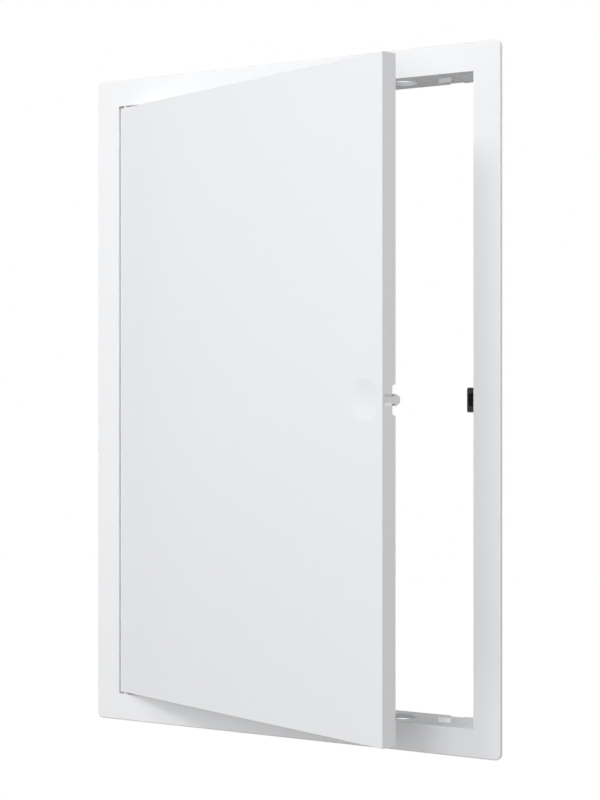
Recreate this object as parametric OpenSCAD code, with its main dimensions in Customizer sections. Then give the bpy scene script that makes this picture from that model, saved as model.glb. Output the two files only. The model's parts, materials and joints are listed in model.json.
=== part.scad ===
// Hinged access hatch for a hole in a wall or ceiling, moulded in white plastic.
// A flanged frame laps the edge of the hole. A flush leaf swings on two pins at its left edge,
// and a barbed nose on its free edge snaps into a sprung clip in the frame.
// X runs to the right, Y into the wall and Z up. The origin is the middle of the opening,
// in the plane of the wall's face. Lengths are in millimetres.
// Each piece is drawn lying on its back, face up, and then stood upright: there a depth is
// counted down from the front of the closed hatch.

/* [Frame] */
// Clear width of the opening inside the lining
opening_w = 192; // [172:1:300]
// Clear height of the opening inside the lining
opening_h = 292; // [192:1:450]
// How far the flange reaches past the clear opening on every side
flange_lap = 13; // [10:0.5:25]
// Thickness of the flange in front of the wall
flange_t = 2; // [2:0.1:3]
// Radius of the flange's four corners, seen from the front
flange_corner_r = 3; // [2:0.5:8]
// Radius of the rounded edge round the front of the flange
flange_edge_r = 0.8; // [0.4:0.1:1.6]
// Length of the lining behind the wall's face
lining_depth = 24; // [20:0.5:60]
// Thickness of the lining's walls
lining_t = 2; // [1.8:0.1:3]

/* [Fixing holes] */
// Diameter of the fixing holes in the top and bottom of the lining
fixing_hole_d = 13; // [5:0.5:14]
// Distance between the two fixing holes of a row
fixing_hole_pitch = 110; // [60:1:120]
// Depth of the fixing holes' centres behind the front
fixing_hole_depth = 13; // [11:0.5:14]

/* [Leaf] */
// Angle at which the leaf stands open
leaf_angle = 20; // [0:1:105]
// Gap between the leaf and the lining on the hinge side
hinge_gap = 0.6; // [0.5:0.05:0.8]
// Gap between the leaf and the lining on the latch side
latch_gap = 0.9; // [0.7:0.05:1.2]
// Gap between the leaf and the lining at the top and bottom
end_gap = 0.9; // [0.6:0.1:1.4]
// Depth of the leaf over its rim
rim_depth = 7.8; // [7.4:0.1:8]
// Thickness of the leaf's face
skin_t = 2; // [1.8:0.1:2.2]
// Thickness of the leaf's rim
rim_t = 2; // [1.8:0.1:2.2]
// Radius of the finger dimple at the leaf's surface
dimple_r = 9; // [6:0.5:10]
// Depth of the finger dimple
dimple_depth = 0.8; // [0.5:0.1:1.4]

/* [Hinge] */
// Radius of the hinge pins
pin_r = 1.4; // [1.2:0.05:1.4]
// Distance from the hinge axis to the side wall of the lining
hinge_inset = 3.2; // [3.2:0.1:3.6]
// Depth of the hinge axis behind the front
hinge_depth = 2; // [2:0.1:2.2]
// Length of a pin inside the leaf
pin_grip = 9; // [5:0.5:10]

/* [Latch] */
// How far the clip stands out from the side wall of the lining
clip_reach = 6; // [5.4:0.1:7]
// Height of the clip over both jaws
clip_h = 11.2; // [10.4:0.1:11.6]
// Height of the mouth between the jaws
mouth_h = 5.3; // [5.3:0.05:5.5]
// Height of the nose's head where it is widest
nose_head_h = 5.2; // [4.8:0.05:5.2]

/* [Hidden] */
$fn = 64;

// Play of a running fit, and the little by which a cut runs past a face
running_play = 0.05;
past = 0.5;
// Straight pieces of a rounded edge's quarter circle
edge_steps = 6;

// Frame
flange_w = opening_w + 2 * flange_lap;
flange_h = opening_h + 2 * flange_lap;
lining_w = opening_w + 2 * lining_t;
lining_h = opening_h + 2 * lining_t;
lining_corner_r = 2;
frame_depth = flange_t + lining_depth;

// Stops that the leaf's rim rests against, each with a ramp and a shallow channel behind it
stop_w = 6.2;
stop_inset = 17.8;
stop_rise = 2.2;
stop_face = rim_depth + 0.4;
stop_lean = 0.4;
stop_flat = 0.8;
stop_end = stop_face + 4.8;
channel_w = 7.2;
channel_inset = 19.3;
channel_depth = 0.4;

// Ribs outside the lining that centre it in the hole, tapering towards the back
centring_t = 1.2;
centring_h = 1.5;
centring_len = 18;
centring_x = [12, opening_w / 2 - 12];
centring_y = [opening_h / 6, opening_h / 2 - 30];

// Leaf, as it lies in the closed hatch
leaf_w = opening_w - hinge_gap - latch_gap;
leaf_h = opening_h - 2 * end_gap;
leaf_left = -opening_w / 2 + hinge_gap;
leaf_right = leaf_left + leaf_w;
leaf_back = front(rim_depth);
leaf_edge_r = 0.3;
hinge_edge_r = 0.8;
rib_t = 1.2;
rib_h = 2.4;
rib_columns = 2;
rib_rows = 3;
column_pitch = leaf_w / (rib_columns + 1);
row_pitch = leaf_h / (rib_rows + 1);
ejector_r = 2.5;
ejector_depth = 0.2;
dimple_x = leaf_right - 10.5;
dimple_reach = dimple_r + 4;
dimple_ball_r = (dimple_r * dimple_r + dimple_depth * dimple_depth) / (2 * dimple_depth);

// Hinge axis, pins and their sockets
hinge_x = -opening_w / 2 + hinge_inset;
socket_depth = 1.5;
pin_end_play = 0.2;
pin_tip = 0.3;
pin_boss = [6.4, 12];
lead_in_len = 4;
lead_in_depth = 0.9;

// Nose, measured behind the leaf's face
nose_t = 3.2;
nose_inset = 0.6;
nose_foot_h = 4.6;
nose_foot_top = skin_t + 0.6;
nose_shoulder = 6;
nose_neck = 0.1;
nose_head_start = 7.7;
nose_head_end = 8.6;
nose_tip_h = 2.2;
nose_tip_r = 0.5;
nose_tip_depth = 11;
nose_slot = [nose_shoulder + 0.2, nose_head_end - 0.2];
nose_slot_t = 0.4;
nose_arm_t = 0.35;
nose_left = leaf_right - nose_inset - nose_t;
cheek_t = 1.6;
cheek_depth = 5.4;

// Notch in the rim that clears the clip, and the groove in front of it
notch_mouth_h = 13.3;
notch_floor_h = 12.1;
notch_floor = nose_shoulder;
groove_start = 1.4;
groove_mouth_h = 4.9;
groove_floor_h = 2.6;

// Clip, measured behind the front
clip_front = 6.4;
clip_lip = [0.6, 0.4];
clip_flare = 0.4;
clip_cheek = 0.6;
clip_hollow_h = 6.2;
clip_hollow_end = 12.2;
clip_back = 15;
clip_arm_h = 9.4;
clip_head_len = 3;
leg_w = 2.4;
leg_h = 2.6;
leg_slit = 1.2;
barb_reach = 0.5;
barb_len = 1.2;
leg_end = clip_back - (clip_back - clip_hollow_end - leg_w) / 2;
window_h = leg_slit + 2 * leg_h;

// Level of a point at a given depth behind the front of the closed hatch
function front(depth) = flange_t - depth;

// Closed outline of a shape with two like halves, from the points of its upper half
function both_halves(half) = concat(half, [for (i = [len(half) - 1:-1:0]) [half[i][0], -half[i][1]]]);

// Quarter circle that rounds the corner of a profile at [u, v]
function rounded(u, v, r) =
    [for (i = [0:edge_steps]) [u - r + r * sin(90 * i / edge_steps), v - r + r * cos(90 * i / edge_steps)]];

// Stands a piece upright: what pointed up from the bench now faces out of the wall
module upright() {
    rotate([90, 0, 0]) children();
}

// Swings a piece of the leaf open about the hinge axis, then stands it upright
module on_hinge() {
    upright() translate([hinge_x, 0, front(hinge_depth)]) rotate([0, -leaf_angle, 0])
        translate([-hinge_x, 0, -front(hinge_depth)]) children();
}

// Copies a piece to the other end, and one to the other side
module both_ends() {
    children();
    mirror([0, 1, 0]) children();
}

module both_sides() {
    children();
    mirror([1, 0, 0]) children();
}

// Plate with round corners whose edge follows the profile given as a child.
// The profile runs from x = 0 to x = corner_r and is as high as the plate.
module edged_plate(w, h, t, corner_r) {
    straight_w = w - 2 * corner_r;
    straight_h = h - 2 * corner_r;
    translate([-straight_w / 2, -straight_h / 2, 0]) cube([straight_w, straight_h, t]);
    both_sides() translate([straight_w / 2, 0, 0]) rotate([90, 0, 0])
        linear_extrude(straight_h, center = true) children();
    both_ends() translate([0, straight_h / 2, 0]) rotate([90, 0, 90])
        linear_extrude(straight_w, center = true) children();
    both_sides() both_ends() translate([straight_w / 2, straight_h / 2, 0])
        rotate_extrude(angle = 90) children();
}

module flange_edge() {
    polygon(concat([[0, 0], [0, flange_t]], rounded(flange_corner_r, flange_t, flange_edge_r),
        [[flange_corner_r, 0]]));
}

// Blind socket for a hinge pin in the top of the lining, with a ramp that leads the pin in
module pin_socket() {
    translate([hinge_x, opening_h / 2, front(hinge_depth)]) {
        rotate([90, 0, 0]) translate([0, 0, -socket_depth])
            cylinder(r = pin_r + running_play, h = socket_depth + past);
        linear_extrude(2 * pin_r, center = true)
            polygon([[0, -past], [0, lead_in_depth], [lead_in_len, 0], [lead_in_len, -past]]);
    }
}

// Stop on the top of the lining, with a steep face for the leaf's rim and a ramp behind it
module leaf_stop() {
    translate([opening_w / 2 - stop_inset, opening_h / 2, 0]) rotate([0, 90, 0])
        linear_extrude(stop_w, center = true) polygon([
            [-front(stop_face), lining_t / 2], [-front(stop_face), 0],
            [-front(stop_face + stop_lean), -stop_rise],
            [-front(stop_face + stop_lean + stop_flat), -stop_rise],
            [-front(stop_end), 0], [-front(stop_end), lining_t / 2]]);
}

module stop_channel() {
    translate([opening_w / 2 - channel_inset - channel_w / 2, opening_h / 2 - past, -lining_depth - past])
        cube([channel_w, channel_depth + past, front(stop_end) + lining_depth + past]);
}

module fixing_hole() {
    translate([fixing_hole_pitch / 2, opening_h / 2 - past, front(fixing_hole_depth)])
        rotate([-90, 0, 0]) cylinder(d = fixing_hole_d, h = lining_t + 2 * past);
}

module centring_rib() {
    rotate([0, 90, 0]) linear_extrude(centring_t, center = true) polygon([
        [-flange_t / 2, -lining_t / 2], [-flange_t / 2, centring_h], [centring_len / 2, centring_h],
        [centring_len, 0], [centring_len, -lining_t / 2]]);
}

module centring_ribs() {
    both_sides() both_ends() {
        for (x = centring_x)
            translate([x, lining_h / 2, 0]) centring_rib();
        for (y = centring_y)
            translate([lining_w / 2, y, 0]) rotate([0, 0, -90]) centring_rib();
    }
}

// Window in the right wall of the lining for the clip's legs
module clip_window() {
    translate([opening_w / 2 - past, -window_h / 2, front(leg_end)])
        cube([lining_t + 2 * past, window_h, leg_w]);
}

module frame() {
    color("white") upright() {
        difference() {
            union() {
                edged_plate(flange_w, flange_h, flange_t, flange_corner_r) flange_edge();
                translate([0, 0, -lining_depth])
                    edged_plate(lining_w, lining_h, lining_depth, lining_corner_r)
                        square([lining_corner_r, lining_depth]);
            }
            translate([-opening_w / 2, -opening_h / 2, -lining_depth - past])
                cube([opening_w, opening_h, frame_depth + 2 * past]);
            both_sides() both_ends() {
                pin_socket();
                stop_channel();
                fixing_hole();
            }
            clip_window();
        }
        both_sides() both_ends() leaf_stop();
        centring_ribs();
    }
}

// Solid leaf with its front edges rounded, more on the hinge side to clear the lining
module leaf_block() {
    intersection() {
        rotate([90, 0, 0]) linear_extrude(leaf_h, center = true) polygon(concat(
            [for (p = rounded(-leaf_left, flange_t, hinge_edge_r)) [-p[0], p[1]]],
            [[leaf_left, leaf_back], [leaf_right, leaf_back]],
            [for (i = [edge_steps:-1:0]) rounded(leaf_right, flange_t, leaf_edge_r)[i]]));
        rotate([90, 0, 90]) linear_extrude(opening_w, center = true) polygon(concat(
            [for (p = rounded(leaf_h / 2, flange_t, leaf_edge_r)) [-p[0], p[1]]],
            [[-leaf_h / 2, leaf_back], [leaf_h / 2, leaf_back]],
            [for (i = [edge_steps:-1:0]) rounded(leaf_h / 2, flange_t, leaf_edge_r)[i]]));
    }
}

// Low ribs that stiffen the back of the face
module leaf_ribs() {
    rib_bottom = front(skin_t + rib_h);
    for (i = [1:rib_columns])
        translate([leaf_left + i * column_pitch - rib_t / 2, -leaf_h / 2 + rim_t, rib_bottom])
            cube([rib_t, leaf_h - 2 * rim_t, rib_h]);
    for (i = [1:rib_rows])
        translate([leaf_left + rim_t, -leaf_h / 2 + i * row_pitch - rib_t / 2, rib_bottom])
            cube([dimple_x - dimple_reach - leaf_left, rib_t, rib_h]);
}

// Round marks that the mould's ejector pins leave between the ribs
module ejector_marks() {
    for (x = [leaf_left + column_pitch / 2:column_pitch:leaf_right])
        for (y = [(row_pitch - leaf_h) / 2:row_pitch:leaf_h / 2])
            translate([x, y, front(skin_t) - past]) cylinder(r = ejector_r, h = ejector_depth + past);
}

// Large ball whose lowest part is the dimple
module dimple_ball(r) {
    translate([dimple_x, 0, front(dimple_depth) + dimple_ball_r]) sphere(r = r, $fn = 128);
}

// Swelling behind the dimple that keeps the face's thickness
module dimple_back() {
    width = leaf_right - rim_t / 2 - dimple_x + dimple_reach;
    intersection() {
        dimple_ball(dimple_ball_r + skin_t);
        translate([dimple_x - dimple_reach, -dimple_reach, front(skin_t + dimple_depth + past)])
            cube([width, 2 * dimple_reach, dimple_depth + 2 * past]);
    }
}

// Corner block that a hinge pin is pressed into
module pin_block() {
    translate([leaf_left + rim_t / 2, leaf_h / 2 - pin_boss[1], leaf_back + 1.2])
        cube([pin_boss[0] - rim_t / 2, pin_boss[1] - rim_t / 2, rim_depth - 1.2 - skin_t / 2]);
}

module pin_bore() {
    translate([hinge_x, leaf_h / 2 - pin_grip, front(hinge_depth)])
        rotate([-90, 0, 0]) cylinder(r = pin_r, h = pin_grip + past);
}

// Pocket on the back of the leaf that holds the nose's foot
module nose_pocket() {
    width = leaf_right - rim_t / 2 - nose_left + cheek_t;
    translate([nose_left - cheek_t, -nose_foot_h / 2 - cheek_t, front(cheek_depth)])
        cube([width, nose_foot_h + 2 * cheek_t, cheek_depth - skin_t / 2]);
}

module nose_seat() {
    translate([nose_left, -nose_foot_h / 2, leaf_back])
        cube([leaf_right - rim_t - nose_left, nose_foot_h, rim_depth - nose_foot_top]);
}

module rim_notch() {
    translate([leaf_right + past, 0, 0]) rotate([90, 0, -90]) linear_extrude(rim_t + 2 * past) polygon([
        [-notch_floor_h / 2, front(notch_floor)], [notch_floor_h / 2, front(notch_floor)],
        [notch_mouth_h / 2, leaf_back], [notch_mouth_h / 2, leaf_back - past],
        [-notch_mouth_h / 2, leaf_back - past], [-notch_mouth_h / 2, leaf_back]]);
}

// Groove with sloping sides in the rim's outer face, from near the front to the notch
module rim_groove() {
    translate([leaf_right, 0, front(notch_floor + past)])
        linear_extrude(notch_floor + past - groove_start) polygon([
            [-nose_inset, -groove_floor_h / 2], [0, -groove_mouth_h / 2], [past, -groove_mouth_h / 2],
            [past, groove_mouth_h / 2], [0, groove_mouth_h / 2], [-nose_inset, groove_floor_h / 2]]);
}

module door_leaf() {
    color("whitesmoke") on_hinge() difference() {
        union() {
            difference() {
                leaf_block();
                translate([leaf_left + rim_t, -leaf_h / 2 + rim_t, leaf_back - past])
                    cube([leaf_w - 2 * rim_t, leaf_h - 2 * rim_t, rim_depth - skin_t + past]);
            }
            leaf_ribs();
            dimple_back();
            nose_pocket();
            both_ends() pin_block();
        }
        dimple_ball(dimple_ball_r);
        nose_seat();
        rim_notch();
        rim_groove();
        both_ends() pin_bore();
        ejector_marks();
    }
}

module hinge_pin() {
    straight = pin_grip + end_gap + socket_depth - pin_end_play - pin_tip;
    translate([hinge_x, leaf_h / 2 - pin_grip, front(hinge_depth)]) rotate([-90, 0, 0]) {
        cylinder(r = pin_r, h = straight);
        translate([0, 0, straight]) cylinder(r1 = pin_r, r2 = pin_r - pin_tip, h = pin_tip);
    }
}

module hinge_pin_upper() {
    color("ivory") on_hinge() hinge_pin();
}

module hinge_pin_lower() {
    color("ivory") on_hinge() mirror([0, 1, 0]) hinge_pin();
}

// Outline of the nose beyond its foot, as [depth, height]: a slight neck, a head and a blunt tip
module nose_outline() {
    neck = nose_head_h / 2 - nose_neck;
    polygon(both_halves([
        [nose_shoulder, neck], [nose_head_start - 0.2, neck],
        [nose_head_start, nose_head_h / 2], [nose_head_end, nose_head_h / 2],
        [nose_tip_depth - nose_tip_r, nose_tip_h / 2 + nose_tip_r], [nose_tip_depth, nose_tip_h / 2]]));
}

// Slot beside the nose's core that leaves a thin sprung arm outside it
module nose_slot_cut() {
    slot_top = nose_head_h / 2 - nose_neck - nose_arm_t;
    translate([nose_left - past, slot_top - nose_slot_t, front(nose_slot[1])])
        cube([nose_t + 2 * past, nose_slot_t, nose_slot[1] - nose_slot[0]]);
}

module latch_nose() {
    color("gainsboro") on_hinge() {
        translate([nose_left, -nose_foot_h / 2, front(nose_shoulder + 0.2)])
            cube([leaf_right - rim_t - nose_left, nose_foot_h, nose_shoulder + 0.2 - nose_foot_top]);
        difference() {
            translate([nose_left, 0, flange_t]) rotate([0, 90, 0]) linear_extrude(nose_t) nose_outline();
            both_ends() nose_slot_cut();
        }
    }
}

// Outline of the clip as [depth, height], its jaws wider than its back
module clip_outline() {
    polygon(both_halves([[clip_front, clip_h / 2 - 0.7], [clip_front + 0.8, clip_h / 2],
        [clip_front + clip_head_len - 0.4, clip_h / 2], [clip_front + clip_head_len, clip_arm_h / 2],
        [clip_back - 0.6, clip_arm_h / 2], [clip_back, clip_arm_h / 2 - 0.6]]));
}

// Way in for the nose: a flared mouth, a lip and the wider hollow behind it
module clip_mouth() {
    lip_end = clip_front + clip_lip[0] + clip_lip[1];
    flare = clip_flare * (1 + past / clip_lip[0]);
    polygon(both_halves([[clip_front - past, mouth_h / 2 + flare], [clip_front + clip_lip[0], mouth_h / 2],
        [lip_end, mouth_h / 2], [lip_end + 0.5, clip_hollow_h / 2], [clip_hollow_end, clip_hollow_h / 2]]));
}

// Sprung leg that passes through the window and hooks behind the lining
module clip_leg() {
    translate([0, leg_slit / 2, 0]) linear_extrude(leg_w) polygon([
        [-past, 0], [-past, leg_h], [lining_t, leg_h], [lining_t, leg_h + barb_reach],
        [lining_t + barb_len, leg_h - 0.4], [lining_t + barb_len, 0]]);
}

module catch_clip() {
    color("dimgray") upright() translate([opening_w / 2, 0, 0]) {
        difference() {
            translate([-clip_reach, 0, flange_t]) rotate([0, 90, 0])
                linear_extrude(clip_reach) clip_outline();
            translate([clip_cheek - clip_reach, 0, flange_t]) rotate([0, 90, 0])
                linear_extrude(clip_reach) clip_mouth();
        }
        translate([0, 0, front(leg_end)]) both_ends() clip_leg();
    }
}

frame();
door_leaf();
hinge_pin_upper();
hinge_pin_lower();
latch_nose();
catch_clip();
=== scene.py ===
import bpy
import json
import math
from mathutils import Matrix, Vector
from mathutils.bvhtree import BVHTree

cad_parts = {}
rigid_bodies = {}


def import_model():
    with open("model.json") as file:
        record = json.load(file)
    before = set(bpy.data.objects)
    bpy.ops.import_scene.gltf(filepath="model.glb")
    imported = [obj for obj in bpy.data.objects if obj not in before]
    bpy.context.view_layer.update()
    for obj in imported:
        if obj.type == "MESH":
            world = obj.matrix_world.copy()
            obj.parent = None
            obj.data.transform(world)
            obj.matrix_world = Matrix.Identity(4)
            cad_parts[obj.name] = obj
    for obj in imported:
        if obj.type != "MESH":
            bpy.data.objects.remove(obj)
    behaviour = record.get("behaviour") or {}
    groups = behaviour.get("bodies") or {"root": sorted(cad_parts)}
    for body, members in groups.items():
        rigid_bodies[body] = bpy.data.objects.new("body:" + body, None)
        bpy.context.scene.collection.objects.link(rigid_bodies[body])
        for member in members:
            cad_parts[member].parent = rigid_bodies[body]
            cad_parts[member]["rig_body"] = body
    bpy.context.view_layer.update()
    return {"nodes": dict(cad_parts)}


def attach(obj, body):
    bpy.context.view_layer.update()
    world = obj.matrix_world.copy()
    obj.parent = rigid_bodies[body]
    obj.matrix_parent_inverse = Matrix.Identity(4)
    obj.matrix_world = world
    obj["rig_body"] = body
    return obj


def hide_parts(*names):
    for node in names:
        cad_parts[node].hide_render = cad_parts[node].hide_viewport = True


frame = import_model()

scene = bpy.context.scene
nodes = frame["nodes"]
mm = 0.001

# The hatch: its front face, and its leaf as it stands ajar about its hinge
hatch = {
    "front": -2.0 * mm,
    "midHeight": 0.0,
    "hingeX": -92.8 * mm,
    "hingeY": 0.0,
    "ajar": 20,                # degrees
    "dimpleX": 84.6 * mm,      # middle of the finger dimple with the leaf closed
    "dimpleRadius": 9.0 * mm,
    "dimpleNear": 0.05 * mm,   # how near to that circle a vertex of its edge lies
}


def deselectAll():
    if bpy.context.object and bpy.context.object.mode != "OBJECT":
        bpy.ops.object.mode_set(mode="OBJECT")
    bpy.ops.object.select_all(action="DESELECT")


def makeActive(piece):
    deselectAll()
    piece.select_set(True)
    bpy.context.view_layer.objects.active = piece


# Shader maths: a wrapped socket takes part in plain Python expressions
class Flow:
    def __init__(self, tree, socket):
        self.tree = tree
        self.socket = socket

    def math(self, operation, other, swap=False):
        node = self.tree.nodes.new("ShaderNodeMath")
        node.operation = operation
        ends = (other, self) if swap else (self, other)
        for i, end in enumerate(ends):
            if isinstance(end, Flow):
                self.tree.links.new(end.socket, node.inputs[i])
            else:
                node.inputs[i].default_value = end
        return Flow(self.tree, node.outputs[0])

    def __add__(self, other):
        return self.math("ADD", other)

    def __radd__(self, other):
        return self.math("ADD", other, swap=True)

    def __sub__(self, other):
        return self.math("SUBTRACT", other)

    def __rsub__(self, other):
        return self.math("SUBTRACT", other, swap=True)

    def __mul__(self, other):
        return self.math("MULTIPLY", other)

    def __rmul__(self, other):
        return self.math("MULTIPLY", other, swap=True)


class Finish:
    # One material: its node tree, its shader and the object's own coordinates
    def __init__(self, name):
        self.material = bpy.data.materials.new(name)
        self.material.use_nodes = True
        self.tree = self.material.node_tree
        self.shader = self.tree.nodes["Principled BSDF"]
        self.place = self.node("ShaderNodeTexCoord", {}, {}, "Object")

    def node(self, kind, settings, values, output=0):
        made = self.tree.nodes.new(kind)
        for name, value in settings.items():
            setattr(made, name, value)
        for name, value in values.items():
            socket = made.inputs[name]
            if isinstance(value, Flow):
                self.tree.links.new(value.socket, socket)
            else:
                socket.default_value = value
        return Flow(self.tree, made.outputs[output])

    def noise(self, scale, detail=2.0, roughness=0.5):
        values = {"Vector": self.place, "Scale": scale, "Detail": detail, "Roughness": roughness}
        return self.node("ShaderNodeTexNoise", {"noise_dimensions": "3D"}, values, "Fac")

    def blend(self, factor, first, second):
        # A Mix node's colour sockets go by number, as its other sockets share their names
        return self.node("ShaderNodeMix", {"data_type": "RGBA"},
                         {"Factor": factor, 6: first, 7: second}, 2)

    def feed(self, name, flow):
        self.tree.links.new(flow.socket, self.shader.inputs[name])


# What all the mouldings share; scales are per metre
mouldedPlastic = {
    "tintScale": 9.0,          # patches of very slightly different white
    "tintDetail": 3.0,
    "tintSpread": 0.012,
    "glossScale": 91.0,        # patches of slightly different gloss
    "glossDetail": 4.0,
    "glossSpread": 0.07,
    "peelScale": 260.0,        # the faint ripple of a moulded face
    "peelDepth": 0.02 * mm,
    "grainScale": 2600.0,      # fine spark-eroded grain
    "grainRoughness": 0.6,
    "grainDepth": 0.004 * mm,
    "ior": 1.52,
}

# The frame and the leaf are the same white plastic. The frame's white is set a little lighter:
# painted light that makes the flange read brighter than the leaf beside it
frameWhite = {"colour": (0.874, 0.881, 0.892), "roughness": 0.56}
leafWhite = {"colour": (0.843, 0.850, 0.861), "roughness": 0.54}
noseWhite = {"colour": (0.84, 0.84, 0.84), "roughness": 0.35}
pinWhite = {"colour": (0.83, 0.83, 0.81), "roughness": 0.30}
clipBlack = {"colour": (0.016, 0.016, 0.017), "roughness": 0.38}


def mouldedFinish(name, look):
    print("finish", name)
    made = Finish(name)
    plastic = mouldedPlastic
    tint = made.noise(plastic["tintScale"], plastic["tintDetail"])
    lighter = tuple(c * (1 + plastic["tintSpread"]) for c in look["colour"]) + (1,)
    darker = tuple(c * (1 - plastic["tintSpread"]) for c in look["colour"]) + (1,)
    made.feed("Base Color", made.blend(tint, darker, lighter))
    gloss = made.noise(plastic["glossScale"], plastic["glossDetail"])
    made.feed("Roughness", look["roughness"] + (gloss - 0.5) * plastic["glossSpread"])
    peel = made.noise(plastic["peelScale"])
    grain = made.noise(plastic["grainScale"], roughness=plastic["grainRoughness"])
    grainBump = made.node("ShaderNodeBump", {}, {
        "Height": grain, "Distance": plastic["grainDepth"], "Strength": 1.0})
    made.feed("Normal", made.node("ShaderNodeBump", {}, {
        "Height": peel, "Distance": plastic["peelDepth"], "Strength": 1.0, "Normal": grainBump}))
    made.shader.inputs["IOR"].default_value = plastic["ior"]
    return made.material


# How much each moulding's sharp edges are eased, and how its mesh is kept clean
easing = {
    "frame": {"width": 0.05 * mm, "segments": 2},
    "door_leaf": {"width": 0.06 * mm, "segments": 2},
    "latch_nose": {"width": 0.08 * mm, "segments": 2},
    "catch_clip": {"width": 0.15 * mm, "segments": 3},
    "edgeAngle": 20,               # the least angle that counts as an edge, in degrees
    "smoothAngle": 60,             # edges sharper than this stay crisp
    "flatAngle": 0.6,              # faces nearer to flat than this become one
    "mergeDistance": 0.02 * mm,    # doubles of the loose triangles
    "cleanDistance": 0.003 * mm,   # doubles that the easing leaves
    "strayReach": 1.2,             # widths off the solid at which a vertex is astray
}


def leafPoint(x, y, z):
    # Where a point of the closed leaf is with the leaf ajar
    a = math.radians(hatch["ajar"])
    dx, dy = x - hatch["hingeX"], y - hatch["hingeY"]
    return Vector((hatch["hingeX"] + dx * math.cos(a) + dy * math.sin(a),
                   hatch["hingeY"] - dx * math.sin(a) + dy * math.cos(a), z))


def keepDimpleEdge(piece):
    # The round edge of the finger dimple stays crisp, though it is a shallow one
    middle = leafPoint(hatch["dimpleX"], hatch["front"], hatch["midHeight"])
    mesh = piece.data
    near = [abs((v.co - middle).length - hatch["dimpleRadius"]) < hatch["dimpleNear"]
            for v in mesh.vertices]
    kept = 0
    for edge in mesh.edges:
        if near[edge.vertices[0]] and near[edge.vertices[1]]:
            edge.use_edge_sharp = True
            kept += 1
    print("dimple edge", kept)


def mergeClose(piece, distance):
    makeActive(piece)
    bpy.ops.object.mode_set(mode="EDIT")
    bpy.ops.mesh.select_all(action="SELECT")
    bpy.ops.mesh.remove_doubles(threshold=distance)
    bpy.ops.object.mode_set(mode="OBJECT")


def joinFlatFaces(piece):
    makeActive(piece)
    bpy.ops.object.mode_set(mode="EDIT")
    bpy.ops.mesh.select_all(action="SELECT")
    bpy.ops.mesh.dissolve_limited(angle_limit=math.radians(easing["flatAngle"]))
    bpy.ops.object.mode_set(mode="OBJECT")


def roundEdges(piece, width, segments):
    bevel = piece.modifiers.new("ease", "BEVEL")
    bevel.width = width
    bevel.segments = segments
    bevel.limit_method = "ANGLE"
    bevel.angle_limit = math.radians(easing["edgeAngle"])
    bevel.use_clamp_overlap = False
    bpy.ops.object.modifier_apply(modifier="ease")


def settle(piece, source, reach):
    # A corner where many short edges meet can throw a vertex off: it goes back to the solid
    solid = BVHTree.FromPolygons([v.co for v in source.data.vertices],
                                 [face.vertices for face in source.data.polygons])
    settled = 0
    for vertex in piece.data.vertices:
        place, normal, face, away = solid.find_nearest(vertex.co)
        if away > reach:
            vertex.co = place
            settled += 1
    print("settled", settled)


def weighNormals(piece):
    # Flat faces stay flat right up to their eased edges
    weights = piece.modifiers.new("flatFaces", "WEIGHTED_NORMAL")
    weights.mode = "FACE_AREA"
    weights.keep_sharp = True
    bpy.ops.object.modifier_apply(modifier="flatFaces")


def easedCopy(nodeName, pieceName, finish):
    # The CAD node's own shape with every sharp edge rounded as a mould leaves it
    print("piece", pieceName)
    source = nodes[nodeName]
    ease = easing[nodeName]
    piece = bpy.data.objects.new(pieceName, source.data.copy())
    scene.collection.objects.link(piece)
    mergeClose(piece, easing["mergeDistance"])
    joinFlatFaces(piece)
    roundEdges(piece, ease["width"], ease["segments"])
    settle(piece, source, easing["strayReach"] * ease["width"])
    mergeClose(piece, easing["cleanDistance"])
    bpy.ops.object.shade_smooth_by_angle(angle=math.radians(easing["smoothAngle"]))
    if nodeName == "door_leaf":
        keepDimpleEdge(piece)
    weighNormals(piece)
    piece.data.materials.clear()
    piece.data.materials.append(finish)
    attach(piece, source["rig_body"])
    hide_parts(nodeName)


whiteFrame = mouldedFinish("frameWhite", frameWhite)
whiteLeaf = mouldedFinish("leafWhite", leafWhite)
whiteNose = mouldedFinish("noseWhite", noseWhite)
whitePin = mouldedFinish("pinWhite", pinWhite)
blackClip = mouldedFinish("clipBlack", clipBlack)

easedCopy("frame", "frameMoulding", whiteFrame)
easedCopy("door_leaf", "leafMoulding", whiteLeaf)
easedCopy("latch_nose", "latchNose", whiteNose)
easedCopy("catch_clip", "catchClip", blackClip)
for pin in ("hinge_pin_upper", "hinge_pin_lower"):
    nodes[pin].data.materials.clear()
    nodes[pin].data.materials.append(whitePin)

# Seen as the photograph sees it: a long lens at mid-height, well to the right of the panel
viewpoint = {
    "lens": 79.0,
    "sensor": 36.0,
    "right": 412.9 * mm,
    "before": 715.5 * mm,      # distance in front of the flange
    "turn": 29.53,             # degrees to the left
    "nearest": 0.01,           # what lies between these distances is drawn, in metres
    "farthest": 50,
}


def addCamera():
    print("camera")
    data = bpy.data.cameras.new("photoCamera")
    data.lens = viewpoint["lens"]
    data.sensor_width = viewpoint["sensor"]
    data.clip_start = viewpoint["nearest"]
    data.clip_end = viewpoint["farthest"]
    camera = bpy.data.objects.new("photoCamera", data)
    scene.collection.objects.link(camera)
    camera.location = (viewpoint["right"], hatch["front"] - viewpoint["before"], hatch["midHeight"])
    camera.rotation_euler = (math.radians(90), 0, math.radians(viewpoint["turn"]))
    scene.camera = camera


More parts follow.
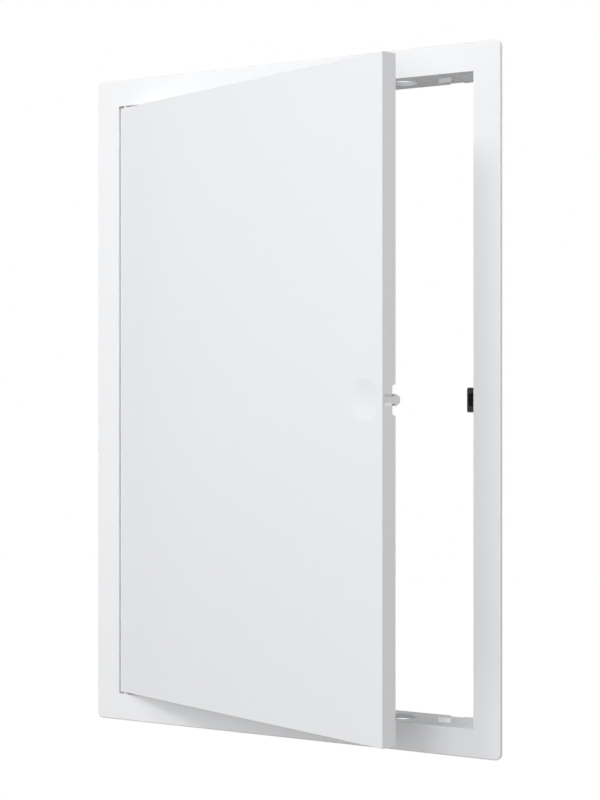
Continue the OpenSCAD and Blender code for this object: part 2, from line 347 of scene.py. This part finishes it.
studio = {
    "floorDrop": 0.9,
    "floorSize": 14,
    "floorGrey": 0.18,         # what the floor throws back on the panel
    "floorRoughness": 0.9,
    "floorGlow": 0.95,         # what is added where the floor is seen
    # Soft boxes: degrees to the right, degrees up, watts, metres away, metres across
    "boxes": [
        (75, -20, 0.5, 0.9, 0.3),
        (-45, -25, 1.6, 1.2, 0.6),
        (-50, 5, 2.8, 1.6, 0.9),
        (20, 5, 9.8, 1.6, 0.9),
        (85, 5, 2.3, 1.6, 0.9),
        (-15, 35, 5.4, 1.6, 0.4),
        (10, 35, 2.5, 1.6, 0.4),
        (-15, 48, 2.8, 1.6, 0.9),
        (10, 55, 4.5, 1.6, 0.4),
        (-105, 6, 4.6, 1.6, 0.4),
        (120, 35, 3.1, 1.6, 0.6),
        (150, 20, 4.5, 1.6, 0.9),
        (180, 0, 2.5, 1.6, 0.6),
    ],
}


def addSoftBoxes():
    print("lights")
    for toRight, up, watts, distance, across in studio["boxes"]:
        data = bpy.data.lights.new("softBox", "AREA")
        data.shape = "DISK"
        data.size = across
        data.energy = watts
        box = bpy.data.objects.new("softBox", data)
        scene.collection.objects.link(box)
        a = math.radians(toRight)
        e = math.radians(up)
        away = Vector((math.sin(a) * math.cos(e), -math.cos(a) * math.cos(e), math.sin(e)))
        box.location = away * distance
        box.rotation_euler = (-away).to_track_quat("-Z", "Y").to_euler()


def seenDirectly(tree):
    # 1 for a ray from the camera, or one that a glossy or clear surface passes on to it
    paths = tree.nodes.new("ShaderNodeLightPath")
    seen = Flow(tree, paths.outputs["Is Camera Ray"])
    for kind in ("Is Glossy Ray", "Is Transmission Ray"):
        seen = seen.math("MAXIMUM", Flow(tree, paths.outputs[kind]))
    return seen


def addWhiteSurround():
    # Plain white behind the panel and in its reflections, and no light on it from there
    print("surround")
    world = bpy.data.worlds.new("surround")
    scene.world = world
    world.use_nodes = True
    tree = world.node_tree
    background = tree.nodes["Background"]
    background.inputs["Color"].default_value = (1, 1, 1, 1)
    tree.links.new(seenDirectly(tree).socket, background.inputs["Strength"])


def addFloor():
    # Plain floor, helped up to white where it is seen, with the panel's shadow left on it
    print("floor")
    deselectAll()
    bpy.ops.mesh.primitive_plane_add(size=studio["floorSize"],
                                     location=(0, 0, -studio["floorDrop"]))
    floor = bpy.context.object
    floor.name = "floor"
    made = Finish("floorPale")
    made.shader.inputs["Base Color"].default_value = (studio["floorGrey"],) * 3 + (1,)
    made.shader.inputs["Roughness"].default_value = studio["floorRoughness"]
    glow = made.node("ShaderNodeEmission", {},
                     {"Color": (1, 1, 1, 1), "Strength": studio["floorGlow"]})
    matt = Flow(made.tree, made.shader.outputs[0])
    lit = made.node("ShaderNodeAddShader", {}, {0: matt, 1: glow})
    mixed = made.node("ShaderNodeMixShader", {}, {"Fac": seenDirectly(made.tree), 1: matt, 2: lit})
    made.tree.links.new(mixed.socket, made.tree.nodes["Material Output"].inputs["Surface"])
    floor.data.materials.append(made.material)


addCamera()
addSoftBoxes()
addWhiteSurround()
addFloor()

scene.view_settings.view_transform = "Standard"
